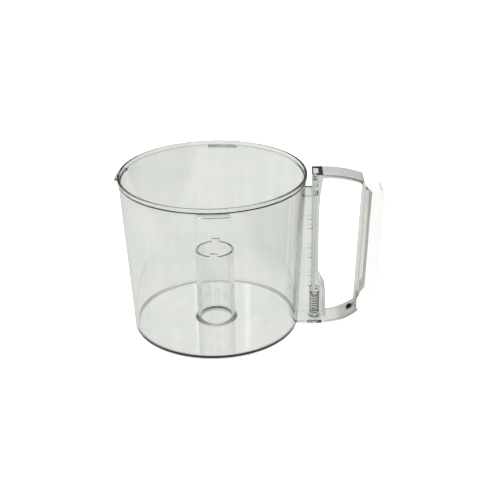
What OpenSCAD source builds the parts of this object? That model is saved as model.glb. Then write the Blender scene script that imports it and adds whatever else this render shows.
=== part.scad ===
// Clear work bowl of a food processor: drafted bowl with a centre tube, a welded handle frame
// whose hollow post carries the sprung push rod of the lid interlock, and a white grip cover.
// The origin is on the bowl's axis at the plane it stands on; the handle points along +X.

/* [Bowl] */
// Outer radius of the rim band
rim_r = 93; // [85:0.5:115]
// Outer radius of the wall at the base
base_r = 84.6; // [70:0.2:90]
// Height from the standing plane to the top of the rim
bowl_h = 163.4; // [130:0.2:200]
// Thickness of the wall
wall_t = 2.5; // [1.8:0.1:3.5]
// Thickness of the floor
floor_t = 2.6; // [1.8:0.1:4]
// Height of the foot ring and of the hub ring under the floor
foot_h = 0.8; // [0.4:0.1:2]
// Width of the foot ring
foot_w = 4; // [3:0.5:10]
// Height of the rim band
band_h = 5; // [3:0.5:8]
// Outward step from the wall to the rim band
band_step = 0.9; // [0.3:0.1:1.5]

/* [Centre tube] */
// Radius of the bore that clears the drive spindle
bore_r = 17; // [12:0.1:22]
// Thickness of the tube
tube_t = 2.4; // [1.5:0.1:4]
// Height of the tube's plain end
tube_h = 80; // [50:1:120]
// Width of each key tab on the tube's end
tab_w = 7.7; // [4:0.1:12]
// Height of each key tab
tab_h = 3.3; // [1.5:0.1:6]
// Radius of the fillet between tube and floor
tube_fillet = 3.2; // [1:0.1:8]

/* [Lid lugs] */
// Angle that each lug covers, in degrees
lug_arc = 18.5; // [8:0.5:25]
// Distance that a lug stands out from the rim band
lug_reach = 3.6; // [2:0.1:6]
// Thickness of a lug
lug_t = 2.6; // [1.5:0.1:4]

/* [Handle] */
// Width of the strap, post and grip
strap_w = 25; // [20:0.5:32]
// Thickness of the two arms
strap_t = 3.4; // [2.5:0.1:5]
// Gap between the rim band and the post, for the lid's skirt
slot_gap = 4.6; // [4.4:0.1:6]
// Depth of that gap below the top of the handle
slot_depth = 21; // [12:1:40]
// Distance across the hand opening at mid height
hand_gap = 40.3; // [36:0.1:48]
// Depth of the grip at mid height, from its clear inner face to the cover's outer face
grip_d = 21.2; // [17.5:0.1:26]
// Radius of the upper arm's crown
crown_r = 110; // [90:1:160]
// Radius of the lower arm's sweep
sweep_r = 60; // [45:1:70]
// Radius of the grip's upper outer corner
corner_r = 17; // [8:1:22]
// Lean of the grip's outer face from upright, in degrees
lean_out = 2.7; // [0:0.1:5]
// Lean of the grip's inner face from upright, in degrees
lean_in = 2.1; // [0:0.1:5]
// Depth of the clear spine behind the fingers
spine_d = 8.2; // [6:0.1:11]
// Thickness of the spine's web and flanges
spine_t = 2.6; // [1.8:0.1:3.5]

/* [Grip cover] */
// Thickness of the white cover
cover_t = 2.2; // [1.6:0.1:3]
// Width of the tongue that the screw holds
tongue_w = 9; // [9:0.5:16]
// Thickness of that tongue
tongue_t = 2; // [1.4:0.1:2.2]
// Radius of the screw's thread
screw_r = 1.5; // [1.2:0.1:2]
// Radius of the screw's head
screw_head_r = 3.3; // [2.6:0.1:4]

/* [Push rod] */
// Thickness of the post's sides
post_side_t = 2.2; // [1.6:0.1:3]
// Thickness of the post's outer wall
post_wall_t = 2.6; // [1.8:0.1:3.5]
// Thickness of the plate that closes the rod channel
plate_t = 1.3; // [1:0.1:2]
// Thickness of the rod's bar
bar_t = 3; // [2.4:0.1:4]
// Width of the rod's bar
bar_w = 8; // [6:0.5:10]
// Width of the rod's head
head_w = 12; // [10:0.5:14]
// Thickness of the rod's head
head_t = 4.4; // [4:0.1:4.8]
// Radius of the rod's stem, inside the spring
stem_r = 2.5; // [1.8:0.1:3]
// Distance that the rod travels
rod_travel = 8; // [5:0.5:10]
// Clearance between the stem and its guide
stem_fit = 0.08; // [0.03:0.01:0.1]
// Clearance on each side of the bar and of the head
slide_fit = 0.25; // [0.15:0.05:0.4]

/* [Return spring] */
// Outer radius of the spring
spring_r = 5; // [4:0.1:5]
// Thickness of the spring's wire
wire_t = 0.9; // [0.6:0.1:1.2]
// Fitted length of the spring
spring_len = 23; // [20:0.5:30]
// Number of turns
spring_turns = 9; // [7:1:12]

/* [Hidden] */
$fn = 96;

eps = 0.01;
part_gap = 0.05;    // joint line between two fixed pieces
reach_past = 5;     // how far a cutting shape runs past the face it cuts

// bowl
wall_top_r = rim_r - band_step;
band_z = bowl_h - band_h;
floor_z = foot_h + floor_t;
tube_r = bore_r + tube_t;
hub_r = tube_r + 1.6;
edge_r = 1.4;       // round of the bowl's bottom edge
floor_fillet = 2.5; // round between floor and wall
rim_round = 0.7;    // round of the rim's two edges
draft = (wall_top_r - base_r) / (band_z - band_step - edge_r);
// one lug on each side away from the handle: degrees at which each lug's middle lies
lug_angles = [86.5, 173, 273.5];

// handle, in the X-Z plane
spring_z = 7;       // height of the spring's lower end
top_z = bowl_h + 0.6;
post_in = rim_r + slot_gap;
wall_x = base_r - 10;
mid_z = top_z / 2;
slot_z = top_z - slot_depth;
channel_in = post_in + plate_t;
channel_out = channel_in + bar_t + 2 * slide_fit;
post_out = channel_out + post_wall_t;
rod_x = post_in + 4.4;
bulge_d = 8.1;      // extra depth of the post around the spring
bulge_z = [spring_z + spring_len + 2, spring_z + spring_len + 25];
gusset_d = 3.2;     // extra depth of the post under the upper arm
gusset_h = 40;
crown_c = [post_in + 12.4, top_z - crown_r];
grip_p = [post_out + hand_gap + grip_d, mid_z];
out_n = [cos(lean_out), -sin(lean_out)];
out_u = [sin(lean_out), cos(lean_out)];
sweep_d = sweep_r - 1.65;
sweep_c = [grip_p.x - (sweep_d + (mid_z - sweep_r) * sin(lean_out)) / cos(lean_out), sweep_r];
corner_c = crown_c + ((grip_p - crown_c) * out_n - corner_r) * out_n
    + sqrt(pow(crown_r - corner_r, 2) - pow((grip_p - crown_c) * out_n - corner_r, 2)) * out_u;
corner_a = atan2(corner_c.y - crown_c.y, corner_c.x - crown_c.x);

function arc(c, r, a0, a1, n) =
    [for (i = [0:n]) c + r * [cos(a0 + (a1 - a0) * i / n), sin(a0 + (a1 - a0) * i / n)]];
function ease(t) = (1 - cos(180 * min(1, max(0, t)))) / 2;

// outline of the whole handle, moved inwards by t
function loop_end(t) =
    let (d = sweep_d - t)
    sweep_c + d * out_n - sqrt(pow(sweep_r - t, 2) - pow(d, 2)) * out_u;
function loop_pts(t) =
    let (e = loop_end(t) - sweep_c)
    concat([[wall_x, t]],
           arc(sweep_c, sweep_r - t, -90, atan2(e.y, e.x), 20),
           arc(corner_c, corner_r - t, -lean_out, corner_a, 10),
           arc(crown_c, crown_r - t, corner_a, 90, 14),
           [[wall_x, top_z - t]]);

// X of the post's outer face, of the channel's outer side and of the grip's inner face
function bulge(z) = bulge_d * ease((bulge_z[1] - z) / (bulge_z[1] - bulge_z[0]));
function gusset(z) = gusset_d * pow(max(0, z - top_z + strap_t + gusset_h) / gusset_h, 2);
function post_face(z) = post_out + bulge(z) + gusset(z);
function inner_face(z) = post_out + hand_gap + (z - mid_z) * tan(lean_in);

core_in = 6;        // the narrow core's reach into the arms, and past the inner face at the top
core_out = 5.6;
cover_fit = 0.1;
flare_lip = 1.3;    // clear edge left in front of each flare

// the edge where the white cover meets the clear frame: straight along the spine, with a flare at
// each end that wraps the frame's corner. Heights of its corners, from top to bottom:
flare_top = [top_z - 10.2, top_z - 11, top_z - 18];
flare_low = [42, 37, 28, 19, 14.4];
cover_top_x = inner_face(top_z) - 0.3;
cover_low_x = inner_face(flare_low[3]) + 3.8;
cover_edge = [
    [cover_top_x, top_z + reach_past],
    [cover_top_x, flare_top[0]],
    [inner_face(flare_top[1]) + flare_lip, flare_top[1]],
    [inner_face(flare_top[2]) + spine_d, flare_top[2]],
    [inner_face(flare_low[0]) + spine_d, flare_low[0]],
    [inner_face(flare_low[1]) + (spine_d + flare_lip) / 2, flare_low[1]],
    [inner_face(flare_low[2]) + flare_lip, flare_low[2]],
    [inner_face(flare_low[3]) + flare_lip, flare_low[3]],
    [cover_low_x, flare_low[4]],
    [cover_low_x + 3.2, flare_low[4] - 6]
];

// push rod and spring
foot_z = spring_z + spring_len + 0.2;
foot_t = 5.8;
foot_r = spring_r + 0.5;
ribs_z = foot_z + foot_t + 0.2;
block_z = top_z - 6.5;
head_h = 7.2;
head_z = block_z - 0.3 - head_h;
head_zone_z = head_z - rod_travel - 0.5;
tip_z = 1.2;
tip_taper = 0.8;
rib_t = 1.2;
post_floor_t = 3;
seat_r = 7.4;
seat_z = 0.3;
seat_spigot = 3;    // height of the spigot inside the spring
mark_r = 2.4;       // ejector pin marks on the post's sides
mark_depth = 0.3;
mark_pitch = 32;

// grip screw: its axis runs through the centre of the lower arm's sweep
screw_back = 6.6;   // distance from the cover's lower edge back to the screw, and to the tongue's tip
tongue_back = 11.2;
screw_a = asin((cover_low_x - screw_back - sweep_c.x) / sweep_r);
tongue_a = asin((cover_low_x - tongue_back - sweep_c.x) / sweep_r);
tongue_len = 17;
screw_rim_h = 1.3;
screw_crown_h = 0.7;
screw_end = 0.25;   // how far the thread stops short of the underside
cut_h = 6;
screw_fn = 48;

module side(w) rotate([90, 0, 0]) linear_extrude(height = w, center = true) children();

module about_sweep(a) translate([sweep_c.x, 0, sweep_c.y]) rotate([0, -a, 0]) children();

// ---- bowl ----

module bowl_profile() polygon(concat(
    [[base_r - foot_w, 0]],
    arc([base_r - edge_r, edge_r], edge_r, -90, 0, 4),
    [[wall_top_r, band_z - band_step]],
    [[rim_r, band_z]],
    arc([rim_r - rim_round, bowl_h - rim_round], rim_round, 0, 90, 4),
    arc([rim_r - wall_t + rim_round, bowl_h - rim_round], rim_round, 90, 180, 4),
    [[rim_r - wall_t, band_z]],
    [[wall_top_r - wall_t, band_z]],
    arc([base_r - wall_t - (1 - draft) * floor_fillet, floor_z + floor_fillet], floor_fillet, 0, -90, 5),
    arc([tube_r + tube_fillet, floor_z + tube_fillet], tube_fillet, -90, -180, 5),
    [[tube_r, tube_h], [bore_r, tube_h], [bore_r, 0], [hub_r, 0], [hub_r, foot_h]],
    [[base_r - foot_w, foot_h]]
));

module key_tabs() intersection() {
    translate([0, 0, tube_h - eps]) difference() {
        cylinder(r = tube_r, h = tab_h + eps);
        translate([0, 0, -eps]) cylinder(r = bore_r, h = tab_h + 3 * eps);
    }
    translate([-tab_w / 2, -tube_r, tube_h - eps]) cube([tab_w, 2 * tube_r, tab_h + eps]);
}

module lid_lugs() for (a = lug_angles) rotate([0, 0, a - lug_arc / 2])
    rotate_extrude(angle = lug_arc) translate([wall_top_r - 1, band_z - lug_t - 0.4])
        square([band_step + 1 + lug_reach, lug_t]);

module bowl() color([0.86, 0.88, 0.85, 0.35]) {
    rotate_extrude() bowl_profile();
    key_tabs();
    lid_lugs();
}

// ---- handle frame ----

module loop(t) polygon(loop_pts(t));

module cover_zone() intersection() {
    loop(0);
    polygon(concat(cover_edge, [[grip_p.x + 20, -reach_past], [grip_p.x + 20, top_z + reach_past]]));
}

module hand_opening() intersection() {
    loop(strap_t);
    polygon(concat(
        [for (z = [-reach_past:2:top_z + reach_past]) [post_face(z), z]],
        [[inner_face(top_z + reach_past), top_z + reach_past], [inner_face(-reach_past), -reach_past]]));
}

// clear core that the cover wraps at the two ends of the grip
module core() difference() {
    intersection() {
        loop(cover_t + cover_fit);
        polygon([[cover_top_x - core_in, 0], [inner_face(0) + spine_t, 0],
                 [inner_face(flare_top[2]) + spine_t, flare_top[2]],
                 [inner_face(top_z) + core_out, flare_top[1]],
                 [inner_face(top_z) + core_out, top_z], [cover_top_x - core_in, top_z]]);
    }
    hand_opening();
}

module tongue(t) intersection() {
    difference() {
        loop(-eps);
        loop(t);
    }
    translate(sweep_c) rotate(tongue_a - 90) square([sweep_r + reach_past, tongue_len]);
}

// hollow of the spine, open towards the grip cover
module spine_channel() {
    low = flare_low[2] + 2;
    high = flare_top[2] + 2;
    polygon([[inner_face(low) + spine_t, low], [inner_face(low) + 2 * spine_d, low],
             [inner_face(high) + 2 * spine_d, high], [inner_face(high) + spine_t, high]]);
}

module screw_hole(gap) about_sweep(screw_a) translate([0, 0, -sweep_r - 1])
    cylinder(r = screw_r + gap, h = cut_h, $fn = screw_fn);

module post_hollow() {
    side(strap_w - 2 * post_side_t) {
        polygon(concat(
            [[wall_x, post_floor_t], [post_face(post_floor_t) - post_wall_t, post_floor_t]],
            [for (z = [bulge_z[0]:2:bulge_z[1] + 1]) [channel_out + bulge(z), z]],
            [[channel_out, head_zone_z], [post_in, head_zone_z],
             [post_in, slot_z - post_side_t], [wall_x, slot_z - post_side_t]]));
        translate([post_in - eps, slot_z - reach_past])
            square([plate_t + part_gap, block_z - slot_z + reach_past]);
    }
}

// the outside of the bowl's wall, which the frame is welded to
module bowl_wall() {
    translate([0, 0, -reach_past]) cylinder(r = base_r + part_gap, h = reach_past + edge_r + eps);
    translate([0, 0, edge_r])
        cylinder(r1 = base_r + part_gap, r2 = wall_top_r + part_gap, h = band_z - band_step - edge_r);
}

module head_way() translate([channel_in, -head_w / 2 - slide_fit, head_zone_z])
    cube([head_t + 2 * slide_fit, head_w + 2 * slide_fit, top_z]);

module channel_ribs() for (m = [0, 1]) mirror([0, m, 0])
    translate([channel_in + part_gap, bar_w / 2 + slide_fit, ribs_z])
        cube([channel_out - channel_in, rib_t, head_zone_z - ribs_z]);

module screw_spot() about_sweep(screw_a) translate([0, 0, -sweep_r + strap_t])
    cylinder(r = screw_head_r + 0.3, h = 2, $fn = screw_fn);

module pin_marks() for (m = [0, 1], i = [0:2]) mirror([0, m, 0])
    translate([post_in - 1.3, strap_w / 2 - mark_depth, top_z - 54.6 - mark_pitch * i])
        rotate([-90, 0, 0]) cylinder(r = mark_r, h = 1, $fn = 32);

module handle_frame() color([0.88, 0.90, 0.88, 0.4]) {
    difference() {
        union() {
            side(strap_w) difference() {
                loop(0);
                hand_opening();
                cover_zone();
                translate([wall_x - 1, slot_z]) square([post_in - wall_x + 1, slot_depth + 1]);
            }
            side(strap_w - 2 * cover_t - 2 * cover_fit) core();
        }
        bowl_wall();
        post_hollow();
        head_way();
        side(strap_w - 2 * spine_t) spine_channel();
        side(tongue_w + 2 * cover_fit) tongue(tongue_t + cover_fit);
        translate([rod_x, 0, -1]) cylinder(r = seat_r + part_gap, h = post_floor_t + 2);
        screw_hole(0.2);
        screw_spot();
        pin_marks();
    }
    channel_ribs();
}

// ---- rod channel ----

module channel_plate() color([0.85, 0.87, 0.85, 0.4])
    translate([post_in + part_gap, -strap_w / 2 + post_side_t + part_gap, ribs_z + 2])
        cube([plate_t - part_gap, strap_w - 2 * post_side_t - 2 * part_gap,
              block_z - ribs_z - 2 - part_gap]);

module spring_seat() color([0.9, 0.9, 0.9, 0.5]) translate([rod_x, 0, 0]) difference() {
    union() {
        translate([0, 0, seat_z]) cylinder(r = seat_r, h = post_floor_t - seat_z);
        translate([0, 0, seat_z]) cylinder(r = foot_r, h = spring_z - part_gap - seat_z);
        translate([0, 0, seat_z])
            cylinder(r = spring_r - wire_t - 0.3, h = spring_z + seat_spigot - seat_z);
    }
    translate([0, 0, -1]) cylinder(r = stem_r + stem_fit, h = spring_z + seat_spigot + 2);
}

module push_rod() color([0.8, 0.83, 0.82, 0.5]) {
    translate([channel_in + slide_fit, -bar_w / 2, foot_z]) cube([bar_t, bar_w, head_z - foot_z + eps]);
    translate([channel_in + slide_fit, -head_w / 2, head_z]) cube([head_t, head_w, head_h]);
    translate([rod_x, 0, foot_z]) cylinder(r = foot_r, h = foot_t);
    translate([rod_x, 0, tip_z + tip_taper]) cylinder(r = stem_r, h = foot_z - tip_z - tip_taper + eps);
    translate([rod_x, 0, tip_z]) cylinder(r1 = stem_r - tip_taper, r2 = stem_r, h = tip_taper + eps);
}

// ---- return spring: one closed wire tube swept along a helix ----

wire_sides = 8;
turn_steps = 20;
spring_steps = spring_turns * turn_steps;
spring_mean = spring_r - wire_t / 2;
closed_turns = 1;   // turns at each end that lie flat on each other
function spring_h(n) =
    let (low = min(n, closed_turns), high = max(0, n - spring_turns + closed_turns),
         mid = n - low - high, pitch = (spring_len - wire_t * (1.1 * 2 * closed_turns + 1))
             / (spring_turns - 2 * closed_turns))
    wire_t * 1.1 * (low + high) + mid * pitch + wire_t / 2;
function wire_ring(i) =
    let (n = i / turn_steps, a = 360 * n)
    [for (k = [0:wire_sides - 1]) let (b = 360 * k / wire_sides, q = spring_mean + wire_t / 2 * cos(b))
        [q * cos(a), q * sin(a), spring_h(n) + wire_t / 2 * sin(b)]];

module return_spring() color([0.35, 0.36, 0.38]) translate([rod_x, 0, spring_z]) polyhedron(
    points = [for (i = [0:spring_steps]) each wire_ring(i)],
    faces = concat(
        [[for (k = [0:wire_sides - 1]) k]],
        [[for (k = [wire_sides - 1:-1:0]) spring_steps * wire_sides + k]],
        [for (i = [0:spring_steps - 1], k = [0:wire_sides - 1])
            let (a = i * wire_sides, b = a + wire_sides, j = (k + 1) % wire_sides)
            each [[a + k, b + k, b + j], [a + k, b + j, a + j]]]));

// ---- grip cover and its screw ----

module grip_cover() color([0.97, 0.97, 0.96]) difference() {
    union() {
        difference() {
            side(strap_w) cover_zone();
            side(strap_w - 2 * cover_t) loop(cover_t);
        }
        side(tongue_w) tongue(tongue_t);
    }
    screw_hole(0.02);
}

// a low head with a crowned edge and a cross recess; it is drawn with its seat at height 0
module screw_shape() difference() {
    union() {
        cylinder(r = screw_head_r, h = screw_rim_h, $fn = screw_fn);
        translate([0, 0, screw_rim_h])
            cylinder(r1 = screw_head_r, r2 = screw_head_r - 1, h = screw_crown_h, $fn = screw_fn);
        translate([0, 0, -strap_t + screw_end]) cylinder(r = screw_r, h = strap_t, $fn = screw_fn);
    }
    for (a = [45, 135]) rotate([0, 0, a])
        translate([-2, -0.4, screw_rim_h - 0.3]) cube([4, 0.8, screw_crown_h + 1]);
}

module grip_screw() color([0.06, 0.06, 0.07])
    about_sweep(screw_a) translate([0, 0, -sweep_r + strap_t + part_gap]) screw_shape();

bowl();
handle_frame();
channel_plate();
spring_seat();
push_rod();
return_spring();
grip_cover();
grip_screw();
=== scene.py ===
import math

import bmesh
import bpy
from mathutils import Matrix, Vector


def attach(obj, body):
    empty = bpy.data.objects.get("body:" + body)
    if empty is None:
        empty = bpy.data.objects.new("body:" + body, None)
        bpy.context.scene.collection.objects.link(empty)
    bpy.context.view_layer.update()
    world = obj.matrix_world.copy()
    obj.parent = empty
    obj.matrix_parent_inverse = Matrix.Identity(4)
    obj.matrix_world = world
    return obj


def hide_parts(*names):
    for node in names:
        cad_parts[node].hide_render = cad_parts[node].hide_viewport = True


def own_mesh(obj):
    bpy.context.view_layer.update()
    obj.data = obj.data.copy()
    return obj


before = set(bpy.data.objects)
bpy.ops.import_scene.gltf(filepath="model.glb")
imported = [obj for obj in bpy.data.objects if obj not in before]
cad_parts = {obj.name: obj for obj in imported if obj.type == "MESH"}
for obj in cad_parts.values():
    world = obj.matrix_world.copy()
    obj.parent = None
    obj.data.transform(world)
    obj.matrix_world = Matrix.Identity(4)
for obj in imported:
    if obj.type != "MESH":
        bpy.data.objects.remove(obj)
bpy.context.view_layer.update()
MM = 0.001


# ---------- small tools ----------

def srgb(code, alpha=1.0):
    """An sRGB hex code as linear colour."""
    parts = [int(code[i:i + 2], 16) / 255 for i in (1, 3, 5)]
    linear = [c / 12.92 if c <= 0.04045 else ((c + 0.055) / 1.055) ** 2.4 for c in parts]
    return (*linear, alpha)


def add(tree, kind, inputs=None, **settings):
    """Adds a node with its settings. An input is a value, or an output socket to link from."""
    node = tree.nodes.new(kind)
    for name, value in settings.items():
        setattr(node, name, value)
    for name, value in (inputs or {}).items():
        if isinstance(value, bpy.types.NodeSocket):
            tree.links.new(value, node.inputs[name])
        else:
            node.inputs[name].default_value = value
    return node


def new_material(name):
    material = bpy.data.materials.new(name)
    material.use_nodes = True
    material.node_tree.nodes.clear()
    return material, material.node_tree


def link_object(name, mesh):
    piece = bpy.data.objects.new(name, mesh)
    bpy.context.scene.collection.objects.link(piece)
    return piece


def smooth_shading(piece, sharp_deg=40):
    """Smooth faces, with normals that keep the flats flat beside their rounded edges."""
    mesh = piece.data
    mesh.polygons.foreach_set("use_smooth", [True] * len(mesh.polygons))
    mesh.set_sharp_from_angle(angle=math.radians(sharp_deg))
    weighted = piece.modifiers.new("flat_faces", "WEIGHTED_NORMAL")
    weighted.keep_sharp = True
    weighted.weight = 100


def apply_modifiers(piece):
    depsgraph = bpy.context.evaluated_depsgraph_get()
    mesh = bpy.data.meshes.new_from_object(piece.evaluated_get(depsgraph))
    piece.modifiers.clear()
    piece.data = mesh


def rounded(corners):
    """A closed outline with its corners rounded. A corner is (x, y, radius)."""
    outline = []
    for i, (x, y, radius) in enumerate(corners):
        steps = 8 if radius > 1 else 5
        here = Vector((x, y))
        to_last = (Vector(corners[i - 1][:2]) - here)
        to_next = (Vector(corners[(i + 1) % len(corners)][:2]) - here)
        half = to_last.angle(to_next) / 2
        if radius == 0:
            outline.append(here)
            continue
        back = radius / math.tan(half)
        middle = (to_last.normalized() + to_next.normalized()).normalized() * radius / math.sin(half)
        start = here + to_last.normalized() * back - here - middle
        sweep = math.pi - 2 * half
        side = math.copysign(1, to_last.x * to_next.y - to_last.y * to_next.x)
        for k in range(steps + 1):
            turn = Matrix.Rotation(-side * sweep * k / steps, 2)
            outline.append(here + middle + turn @ start)
    return outline


# ---------- camera, light and floor ----------

SWEEP = "#E1E3DD"       # the studio's grey-green, as it lights the plastic
DARK, CEILING = 0.22, 0.5    # how bright the studio's walls and ceiling are beside the sweep
WINDOW = (-0.055, 0.3, 0.58, 0.2, 1.05)    # bearing, half width, rise, half height, strength
STRIPS = ((-0.0875, 0.009, 1.2), (-0.0158, 0.004, 1.6))    # bearing, half width, strength
PAINTED_SHADOW_AT = (0.15, 0.02)     # where the handle's shadow is painted on the sweep


def make_camera():
    """A 71 mm lens at 1.04 m, looking 26 degrees down at the bowl with the handle on the right."""
    place = Vector((0.0581, -0.9054, 0.5146))
    turn, tilt, roll = math.radians(1.37), math.radians(90 - 25.76), math.radians(-0.76)
    data = bpy.data.cameras.new("camera")
    data.sensor_width = 36
    data.lens = 71.29
    data.shift_x, data.shift_y = -0.001, 0.001
    data.clip_start, data.clip_end = 0.05, 50
    camera = bpy.data.objects.new("camera", data)
    rotation = Matrix.Rotation(turn, 4, "Z") @ Matrix.Rotation(tilt, 4, "X") @ Matrix.Rotation(roll, 4, "Z")
    camera.matrix_world = Matrix.Translation(place) @ rotation
    bpy.context.scene.collection.objects.link(camera)
    bpy.context.scene.camera = camera


def make_world():
    """Plain white seen directly. In the plastic it is a dark studio with a lit ceiling, and a window and
    two narrow bright strips behind the bowl."""
    world = bpy.data.worlds.new("studio")
    bpy.context.scene.world = world
    world.use_nodes = True
    tree = world.node_tree
    tree.nodes.clear()
    place = add(tree, "ShaderNodeTexCoord")
    split = add(tree, "ShaderNodeSeparateXYZ", {"Vector": place.outputs["Generated"]})
    above = add(tree, "ShaderNodeMapRange", {"Value": split.outputs["Z"], "From Min": 0.68, "From Max": 0.8,
                                             "To Min": DARK, "To Max": CEILING})
    bearing = add(tree, "ShaderNodeMath", {0: split.outputs["X"], 1: split.outputs["Y"]}, operation="DIVIDE")
    rise = add(tree, "ShaderNodeMath", {0: split.outputs["Z"], 1: split.outputs["Y"]}, operation="DIVIDE")
    behind = add(tree, "ShaderNodeMath", {0: split.outputs["Y"], 1: 0.0}, operation="GREATER_THAN")

    def band(value, middle, half, strength, soft):
        """strength within half of middle, falling to nothing over the soft share of it."""
        off = add(tree, "ShaderNodeMath", {0: value.outputs[0], 1: middle}, operation="SUBTRACT")
        off = add(tree, "ShaderNodeMath", {0: off.outputs[0]}, operation="ABSOLUTE")
        return add(tree, "ShaderNodeMapRange", {"Value": off.outputs[0], "From Min": half * (1 - soft),
                                                "From Max": half, "To Min": strength, "To Max": 0.0})

    across, half_across, up, half_up, strength = WINDOW
    wide = band(bearing, across, half_across, strength, 0.3)
    tall = band(rise, up, half_up, 1.0, 0.3)
    pane = add(tree, "ShaderNodeMath", {0: wide.outputs[0], 1: tall.outputs[0]}, operation="MULTIPLY")
    pane = add(tree, "ShaderNodeMath", {0: pane.outputs[0], 1: behind.outputs[0]}, operation="MULTIPLY")
    total = add(tree, "ShaderNodeMath", {0: above.outputs[0], 1: pane.outputs[0]}, operation="ADD").outputs[0]
    for middle, half, strength in STRIPS:
        strip = add(tree, "ShaderNodeMath", {0: band(bearing, middle, half, strength, 0.4).outputs[0],
                                             1: behind.outputs[0]}, operation="MULTIPLY")
        total = add(tree, "ShaderNodeMath", {0: total, 1: strip.outputs[0]}, operation="ADD").outputs[0]
    tent = add(tree, "ShaderNodeBackground", {"Color": srgb(SWEEP), "Strength": total})
    white = add(tree, "ShaderNodeBackground", {"Color": (1, 1, 1, 1), "Strength": 1.0})
    path = add(tree, "ShaderNodeLightPath")
    mix = add(tree, "ShaderNodeMixShader",
              {0: path.outputs["Is Camera Ray"], 1: tent.outputs[0], 2: white.outputs[0]})
    add(tree, "ShaderNodeOutputWorld", {"Surface": mix.outputs[0]})


def make_softbox(name, place, target, size, watts):
    """A square soft light. It lights the pieces and isn't mirrored in them."""
    data = bpy.data.lights.new(name, "AREA")
    data.shape = "RECTANGLE"
    data.size = data.size_y = size
    data.energy = watts
    lamp = bpy.data.objects.new(name, data)
    lamp.location = place
    lamp.rotation_euler = (Vector(target) - Vector(place)).to_track_quat("-Z", "Y").to_euler()
    lamp.visible_glossy = lamp.visible_transmission = False
    bpy.context.scene.collection.objects.link(lamp)


def make_floor():
    """The sweep under the bowl. Seen directly it is white. In the plastic it is grey-green with soft
    patches, a painted shadow under the handle, and dark beyond the handle and far off on every side."""
    mesh = bpy.data.meshes.new("floor")
    half = 6
    corners = [(-half, -half, 0), (half, -half, 0), (half, half, 0), (-half, half, 0)]
    mesh.from_pydata(corners, [], [(0, 1, 2, 3)])
    floor = link_object("floor", mesh)
    floor.location.z = -0.0004
    material, tree = new_material("sweep_paper")
    paper = add(tree, "ShaderNodeBsdfDiffuse", {"Color": srgb("#F4F4F4")})
    glow = add(tree, "ShaderNodeEmission", {"Color": (1, 1, 1, 1), "Strength": 0.85})
    lit = add(tree, "ShaderNodeAddShader", {0: paper.outputs[0], 1: glow.outputs[0]})
    place = add(tree, "ShaderNodeTexCoord")
    split = add(tree, "ShaderNodeSeparateXYZ", {"Vector": place.outputs["Object"]})
    flat = add(tree, "ShaderNodeCombineXYZ", {"X": split.outputs["X"], "Y": split.outputs["Y"]})
    reach = add(tree, "ShaderNodeVectorMath", {0: flat.outputs[0]}, operation="LENGTH")
    level = add(tree, "ShaderNodeMapRange", {
        "Value": reach.outputs["Value"], "From Min": 0.62, "From Max": 0.9, "To Min": 1.0, "To Max": DARK})
    # painted shadow: the sweep's grey glow is dimmed round the spot under the handle
    near = add(tree, "ShaderNodeVectorMath", {0: flat.outputs[0], 1: (*PAINTED_SHADOW_AT, 0)}, operation="DISTANCE")
    shade = add(tree, "ShaderNodeMapRange", {
        "Value": near.outputs["Value"], "From Min": 0.025, "From Max": 0.06, "To Min": 0.74, "To Max": 1.0})
    level = add(tree, "ShaderNodeMath", {0: level.outputs[0], 1: shade.outputs[0]}, operation="MULTIPLY")
    right = add(tree, "ShaderNodeMapRange", {"Value": split.outputs["X"], "From Min": 0.18, "From Max": 0.24,
                                             "To Min": 1.0, "To Max": DARK})
    level = add(tree, "ShaderNodeMath", {0: level.outputs[0], 1: right.outputs[0]}, operation="MULTIPLY")
    cloud = add(tree, "ShaderNodeTexNoise", {"Vector": place.outputs["Object"], "Scale": 11.0, "Detail": 3.0})
    patch = add(tree, "ShaderNodeMapRange",
                {"Value": cloud.outputs["Fac"], "From Min": 0.35, "From Max": 0.65})
    tone = add(tree, "ShaderNodeMix",
               {"Factor": patch.outputs[0], "A": srgb("#E2E6E4"), "B": srgb("#ECEBE5")}, data_type="RGBA")
    grey = add(tree, "ShaderNodeEmission", {"Color": tone.outputs["Result"], "Strength": level.outputs[0]})
    path = add(tree, "ShaderNodeLightPath")
    mix = add(tree, "ShaderNodeMixShader",
              {0: path.outputs["Is Camera Ray"], 1: grey.outputs[0], 2: lit.outputs[0]})
    add(tree, "ShaderNodeOutputMaterial", {"Surface": mix.outputs[0]})
    mesh.materials.append(material)


# ---------- materials ----------

FLOW_WAVE, FLOW_HEIGHT, HAZE_WAVE = 14, 0.02, 30    # mm

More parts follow.
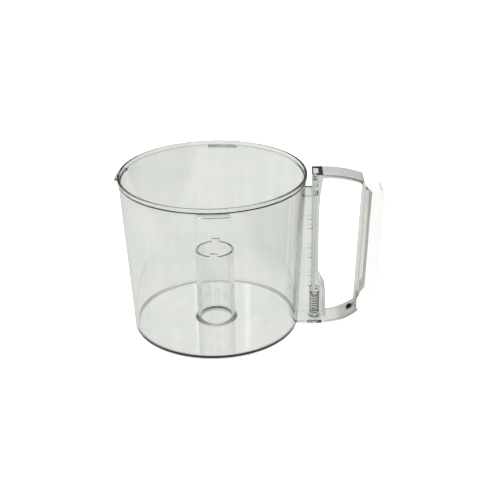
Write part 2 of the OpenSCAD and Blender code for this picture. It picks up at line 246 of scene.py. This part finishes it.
def clear_polycarbonate(name, tint, depth, shade="#FFFFFF"):
    """Injection moulded, polished mould: glass clear, with a grey-green body colour that shows where
    light runs a long way inside it, sharp reflections, a slow ripple where the melt flowed and faint
    upright streaks. shade is what it lets through to the pieces behind it."""
    material, tree = new_material(name)
    place = add(tree, "ShaderNodeTexCoord")
    flow = add(tree, "ShaderNodeTexNoise", {"Vector": place.outputs["Object"], "Scale": 1 / (FLOW_WAVE * MM),
                                            "Detail": 1.5, "Roughness": 0.4})
    ripple = add(tree, "ShaderNodeBump", {"Height": flow.outputs["Fac"], "Strength": 0.35,
                                          "Distance": FLOW_HEIGHT * MM})
    haze = add(tree, "ShaderNodeTexNoise", {"Vector": place.outputs["Object"], "Scale": 1 / (HAZE_WAVE * MM)})
    rough = add(tree, "ShaderNodeMapRange", {"Value": haze.outputs["Fac"], "To Min": 0.012, "To Max": 0.05})
    streaks = add(tree, "ShaderNodeMapping", {"Vector": place.outputs["Object"], "Scale": (70, 70, 7)})
    drawn = add(tree, "ShaderNodeTexNoise", {"Vector": streaks.outputs[0], "Scale": 1.0, "Detail": 3.0})
    contrast = add(tree, "ShaderNodeMapRange",
                   {"Value": drawn.outputs["Fac"], "From Min": 0.35, "From Max": 0.65})
    tone = add(tree, "ShaderNodeMix", {"Factor": contrast.outputs[0], "A": srgb(tint), "B": srgb("#FFFFFF")},
               data_type="RGBA")
    glass = add(tree, "ShaderNodeBsdfPrincipled", {
        "Base Color": tone.outputs["Result"], "IOR": 1.585, "Transmission Weight": 1.0,
        "Roughness": rough.outputs[0], "Normal": ripple.outputs[0]})
    let_through = add(tree, "ShaderNodeBsdfTransparent", {"Color": srgb(shade)})
    path = add(tree, "ShaderNodeLightPath")
    mix = add(tree, "ShaderNodeMixShader",
              {0: path.outputs["Is Shadow Ray"], 1: glass.outputs[0], 2: let_through.outputs[0]})
    body = add(tree, "ShaderNodeVolumeAbsorption", {"Color": srgb("#D2D8D2"), "Density": depth})
    add(tree, "ShaderNodeOutputMaterial", {"Surface": mix.outputs[0], "Volume": body.outputs[0]})
    return material


def white_abs():
    """Moulded ABS from a spark-eroded mould: bright white, a broad soft sheen. The real grain is about
    0.1 mm and is drawn at 0.6 mm, so that it can show."""
    material, tree = new_material("white_abs")
    place = add(tree, "ShaderNodeTexCoord")
    grain = add(tree, "ShaderNodeTexNoise", {"Vector": place.outputs["Object"], "Scale": 1 / (0.6 * MM),
                                             "Detail": 3})
    bump = add(tree, "ShaderNodeBump", {"Height": grain.outputs["Fac"], "Strength": 0.25,
                                        "Distance": 0.02 * MM})
    wear = add(tree, "ShaderNodeTexNoise",
               {"Vector": place.outputs["Object"], "Scale": 1 / (9 * MM), "Detail": 4})
    rough = add(tree, "ShaderNodeMapRange", {"Value": wear.outputs["Fac"], "To Min": 0.3, "To Max": 0.42})
    tone = add(tree, "ShaderNodeMix",
               {"Factor": wear.outputs["Fac"], "A": srgb("#F7F7F6"), "B": srgb("#FBFBFB")}, data_type="RGBA")
    shader = add(tree, "ShaderNodeBsdfPrincipled", {
        "Base Color": tone.outputs["Result"], "IOR": 1.54, "Roughness": rough.outputs[0],
        "Normal": bump.outputs[0]})
    add(tree, "ShaderNodeOutputMaterial", {"Surface": shader.outputs[0]})
    return material


def spring_wire():
    """Cold drawn spring steel: dark grey metal with an uneven sheen."""
    material, tree = new_material("spring_wire")
    place = add(tree, "ShaderNodeTexCoord")
    marks = add(tree, "ShaderNodeTexNoise",
                {"Vector": place.outputs["Object"], "Scale": 1 / (0.8 * MM), "Detail": 2})
    rough = add(tree, "ShaderNodeMapRange", {"Value": marks.outputs["Fac"], "To Min": 0.25, "To Max": 0.45})
    shader = add(tree, "ShaderNodeBsdfPrincipled", {
        "Base Color": srgb("#5E6063"), "Metallic": 1.0, "Roughness": rough.outputs[0]})
    add(tree, "ShaderNodeOutputMaterial", {"Surface": shader.outputs[0]})
    return material


def black_oxide():
    """Black oxide on steel: near black with a dull oily sheen."""
    material, tree = new_material("black_oxide")
    place = add(tree, "ShaderNodeTexCoord")
    spots = add(tree, "ShaderNodeTexNoise",
                {"Vector": place.outputs["Object"], "Scale": 1 / (0.7 * MM), "Detail": 3})
    rough = add(tree, "ShaderNodeMapRange", {"Value": spots.outputs["Fac"], "To Min": 0.35, "To Max": 0.6})
    shader = add(tree, "ShaderNodeBsdfPrincipled", {
        "Base Color": srgb("#141416"), "Metallic": 0.4, "Roughness": rough.outputs[0]})
    add(tree, "ShaderNodeOutputMaterial", {"Surface": shader.outputs[0]})
    return material


# ---------- bowl ----------

RIM_R, BASE_R, BOWL_H, WALL_T = 93, 84.6, 163.4, 2.5
BAND_Z, BAND_STEP = 158.4, 0.9
WALL_TOP_R = RIM_R - BAND_STEP
FOOT_H, FOOT_W, FLOOR_Z = 0.8, 4, 3.4
BORE_R, TUBE_R, HUB_R, TUBE_H = 17, 19.4, 21, 80
TAB_W, TAB_H, TAB_ANGLES = 7.7, 3.3, (90, 270)
LUG_ANGLES, LUG_ARC, LUG_REACH, LUG_Z = (86.5, 173, 273.5), 18.5, 3.6, (155.4, 158.0)


def bowl_section(lug, tab):
    """The bowl's section as (radius, height) points, going round from the foot. lug is how much of a
    lid lug stands out there and tab how much of a key tab stands up, from 0 to 1."""
    foot_in = BASE_R - FOOT_W
    wall_at_lug = BASE_R + (WALL_TOP_R - BASE_R) * LUG_Z[0] / (BAND_Z - BAND_STEP)
    under_lug, over_lug = Vector((wall_at_lug, LUG_Z[0])), Vector((WALL_TOP_R + 0.1, BAND_Z - BAND_STEP))
    lug_r = RIM_R + LUG_REACH
    lug_edge = rounded([(WALL_TOP_R - 1, LUG_Z[0], 0), (lug_r, LUG_Z[0], 0.3),
                        (lug_r, LUG_Z[1], 0.3), (WALL_TOP_R - 1, LUG_Z[1], 0)])[1:-1]
    half = len(lug_edge) // 2
    roots = [under_lug] * half + [over_lug] * half
    lug_edge = [root.lerp(p, lug) for root, p in zip(roots, lug_edge)]
    tube_top = TUBE_H + TAB_H * tab
    low = rounded([(HUB_R, FOOT_H, 0), (foot_in, FOOT_H, 0.3), (foot_in, 0, 0.3), (BASE_R, 0, 1.4),
                   (wall_at_lug, LUG_Z[0], 0)])[1:]
    rest = rounded([
        (WALL_TOP_R + 0.5, LUG_Z[1], 0), (RIM_R, BAND_Z, 0.7),
        (RIM_R, BOWL_H, 1.1), (RIM_R - WALL_T, BOWL_H, 1.1),
        (RIM_R - WALL_T, BAND_Z + 0.6, 1.2), (WALL_TOP_R - WALL_T, BAND_Z - 0.6, 1.2),
        (BASE_R - WALL_T, FLOOR_Z, 2.5), (TUBE_R, FLOOR_Z, 3.2),
        (TUBE_R, tube_top, 0.4), (BORE_R, tube_top, 0.4),
        (BORE_R, 0, 0.4), (HUB_R, 0, 0.3), (HUB_R, FOOT_H, 0.3), (HUB_R + 5, FOOT_H, 0)])
    return low + lug_edge + rest


def square_end(half_deg, round_deg, steps=4):
    """(offset in degrees, presence) down one end of a lug: a straight face with a rounded edge."""
    turns = [math.pi / 2 * k / steps for k in range(steps + 1)]
    edge = [(half_deg - round_deg * (1 - math.cos(t)), 0.6 + 0.4 * math.sin(t)) for t in turns]
    return [(half_deg, 0.0)] + edge


def bowl_columns(step=1.25):
    """(angle, lug presence, tab presence) of each section round the bowl, in degrees."""
    tab_half = math.degrees(math.asin(TAB_W / (BORE_R + TUBE_R)))
    families = [(LUG_ANGLES, square_end(LUG_ARC / 2, 0.35)), (TAB_ANGLES, square_end(tab_half, 1.5))]
    columns = []
    for kind, (middles, end) in enumerate(families):
        for middle in middles:
            columns += [(middle - off, kind, share) for off, share in end]
            columns += [(middle + off, kind, share) for off, share in reversed(end)]
    taken = [a for a, _, _ in columns]
    plain = [step * i for i in range(round(360 / step)) if min(abs(step * i - a) for a in taken) > 0.2]
    angles = sorted(columns + [(a, None, None) for a in plain], key=lambda c: c[0])

    def present(angle, kind):
        middles, end = families[kind]
        off = min(abs((angle - middle + 180) % 360 - 180) for middle in middles)
        if off >= end[0][0]:
            return 0.0
        return next(share for at, share in reversed(end) if off <= at + 1e-6)

    return [(a, share if kind == 0 else present(a, 0), share if kind == 1 else present(a, 1))
            for a, kind, share in angles]


def make_bowl():
    """The bowl as one moulding: sections round the axis, joined into a closed skin."""
    verts, faces = [], []
    columns = bowl_columns()
    # at a lug's ends two columns share one angle: the plain section first on the way in, last on the way out
    for angle, lug, tab in columns:
        a = math.radians(angle)
        verts += [(p.x * math.cos(a) * MM, p.x * math.sin(a) * MM, p.y * MM) for p in bowl_section(lug, tab)]
    count = len(verts) // len(columns)
    for i in range(len(columns)):
        j = (i + 1) % len(columns)
        faces += [(i * count + k, j * count + k, j * count + (k + 1) % count, i * count + (k + 1) % count)
                  for k in range(count)]
    mesh = bpy.data.meshes.new("clear_bowl")
    mesh.from_pydata(verts, [], faces)
    work = bmesh.new()
    work.from_mesh(mesh)
    bmesh.ops.remove_doubles(work, verts=work.verts, dist=1e-6)
    bmesh.ops.dissolve_degenerate(work, dist=1e-7, edges=work.edges)
    work.to_mesh(mesh)
    work.free()
    bowl = link_object("clear_bowl", mesh)
    smooth_shading(bowl)
    return bowl


# ---------- pieces worked up from their CAD shapes ----------

GRIP_MIDDLE = Vector((0.13, 0, 0.082))
POST_MARKS = (96.3, (109.4, 77.4, 45.4))    # x, then each ring's height
MARK_R, MARK_FACE, MARK_FLOOR = 2.6, (12.1, 12.3), 11.3    # ring's reach, where its face is, how deep it goes
SPRING_R, WIRE_T, SPRING_LEN, SPRING_TURNS, SPRING_AT = 5, 0.9, 23, 9, (102.0, 0, 7)


def with_soft_outer_edges(piece, radius_mm, grip_middle):
    """Rounds the long outer edges of the grip cover, where a palm closes round it."""
    mesh = piece.data
    work = bmesh.new()
    work.from_mesh(mesh)
    bmesh.ops.remove_doubles(work, verts=work.verts, dist=1e-6)
    bmesh.ops.dissolve_limit(work, angle_limit=math.radians(1.5), verts=work.verts, edges=work.edges)
    work.normal_update()
    long_edges = []
    for edge in work.edges:
        if len(edge.link_faces) != 2:
            continue
        flat, curved = sorted(edge.link_faces, key=lambda f: -abs(f.normal.y))
        outward = (edge.verts[0].co + edge.verts[1].co) / 2 - grip_middle
        outward.y = 0
        if abs(flat.normal.y) > 0.99 and abs(curved.normal.y) < 0.01 and curved.normal.dot(outward) > 0.01:
            long_edges.append(edge)
    bmesh.ops.bevel(work, geom=long_edges, offset=radius_mm * MM, segments=5, profile=0.5, affect="EDGES",
                    clamp_overlap=True)
    work.to_mesh(mesh)
    work.free()


def with_pin_marks(piece):
    """The ejector pins' rings on the post's sides, pressed in enough for their lower edges to show."""
    for vertex in piece.data.vertices:
        across, high = vertex.co.x / MM - POST_MARKS[0], vertex.co.z / MM
        on_side = MARK_FACE[0] < abs(vertex.co.y / MM) < MARK_FACE[1]
        if on_side and any(math.hypot(across, high - z) < MARK_R for z in POST_MARKS[1]):
            vertex.co.y = math.copysign(MARK_FLOOR * MM, vertex.co.y)


def with_moulded_edges(name, node, radius_mm, segments=3, outer_mm=None):
    """The node's own shape with every sharp edge rounded, as a mould leaves it."""
    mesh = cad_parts[node].data.copy()
    piece = link_object(name, mesh)
    if outer_mm:
        with_soft_outer_edges(piece, outer_mm, GRIP_MIDDLE)
    if node == "handle_frame":
        with_pin_marks(piece)
    work = bmesh.new()
    work.from_mesh(mesh)
    bmesh.ops.remove_doubles(work, verts=work.verts, dist=1e-6)
    bmesh.ops.dissolve_limit(work, angle_limit=math.radians(1.5), verts=work.verts, edges=work.edges)
    work.to_mesh(mesh)
    work.free()
    bevel = piece.modifiers.new("moulded_edges", "BEVEL")
    bevel.limit_method = "ANGLE"
    bevel.angle_limit = math.radians(30)
    bevel.width = radius_mm * MM
    bevel.segments = segments
    apply_modifiers(piece)
    smooth_shading(piece)
    return piece


def make_spring(turn_steps=48, sides=12):
    """The return spring: round wire coiled with one closed turn at each end, open coils between."""
    pitch = (SPRING_LEN - WIRE_T * 3.2) / (SPRING_TURNS - 2)
    mean = SPRING_R - WIRE_T / 2
    verts, faces = [], []
    steps = SPRING_TURNS * turn_steps
    for i in range(steps + 1):
        turn = i / turn_steps
        closed = min(turn, 1) + max(0, turn - SPRING_TURNS + 1)
        height = WIRE_T * 1.1 * closed + (turn - closed) * pitch + WIRE_T / 2
        a = math.tau * turn
        for k in range(sides):
            b = math.tau * k / sides
            reach = mean + WIRE_T / 2 * math.cos(b)
            point = (reach * math.cos(a), reach * math.sin(a), height + WIRE_T / 2 * math.sin(b))
            verts.append([(c + o) * MM for c, o in zip(point, SPRING_AT)])
    faces.append(tuple(range(sides)))
    for i in range(steps):
        low, high = i * sides, (i + 1) * sides
        faces += [(low + k, high + k, high + (k + 1) % sides, low + (k + 1) % sides) for k in range(sides)]
    faces.append(tuple(reversed(range(steps * sides, (steps + 1) * sides))))
    mesh = bpy.data.meshes.new("return_spring_wire")
    mesh.from_pydata(verts, [], faces)
    spring = link_object("return_spring_wire", mesh)
    smooth_shading(spring)
    apply_modifiers(spring)
    return spring


def dress(piece, node, body, material):
    piece.data.materials.clear()
    piece.data.materials.append(material)
    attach(piece, body)
    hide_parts(node)


def set_exposure():
    """Straight display colours, and enough bounces for light to cross every clear wall."""
    scene = bpy.context.scene
    scene.view_settings.view_transform = "Standard"
    scene.cycles.max_bounces = 24
    scene.cycles.transmission_bounces = 20
    scene.cycles.transparent_max_bounces = 24


make_camera()
set_exposure()
make_world()
make_floor()
make_softbox("fill", (-0.9, -1.2, 0.9), (0.15, 0, 0.08), 0.8, 32)
make_softbox("overhead", (0.0, 0.1, 1.5), (0.1, 0, 0), 0.9, 30)

bowl_clear = clear_polycarbonate("clear_polycarbonate", "#F9FBF9", 22.0)
clear = clear_polycarbonate("clear_handle_moulding", "#F6F8F6", 30.0, shade="#C4C4C0")
rod_clear = clear_polycarbonate("clear_rod_moulding", "#F2F5F4", 40.0)
white = white_abs()
steel = spring_wire()
black = black_oxide()

dress(make_bowl(), "bowl", "bowl_body", bowl_clear)
dress(with_moulded_edges("handle_frame_clear", "handle_frame", 0.3),
      "handle_frame", "bowl_body", clear)
dress(with_moulded_edges("channel_plate_clear", "channel_plate", 0.15),
      "channel_plate", "bowl_body", clear)
dress(with_moulded_edges("spring_seat_clear", "spring_seat", 0.2),
      "spring_seat", "bowl_body", clear)
dress(with_moulded_edges("push_rod_clear", "push_rod", 0.9),
      "push_rod", "rod_body", rod_clear)
dress(with_moulded_edges("grip_cover_white", "grip_cover", 0.3, outer_mm=1.8),
      "grip_cover", "bowl_body", white)
dress(with_moulded_edges("grip_screw_black", "grip_screw", 0.1),
      "grip_screw", "bowl_body", black)
spring = make_spring()
dress(spring, "return_spring", "bowl_body", steel)
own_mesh(spring)
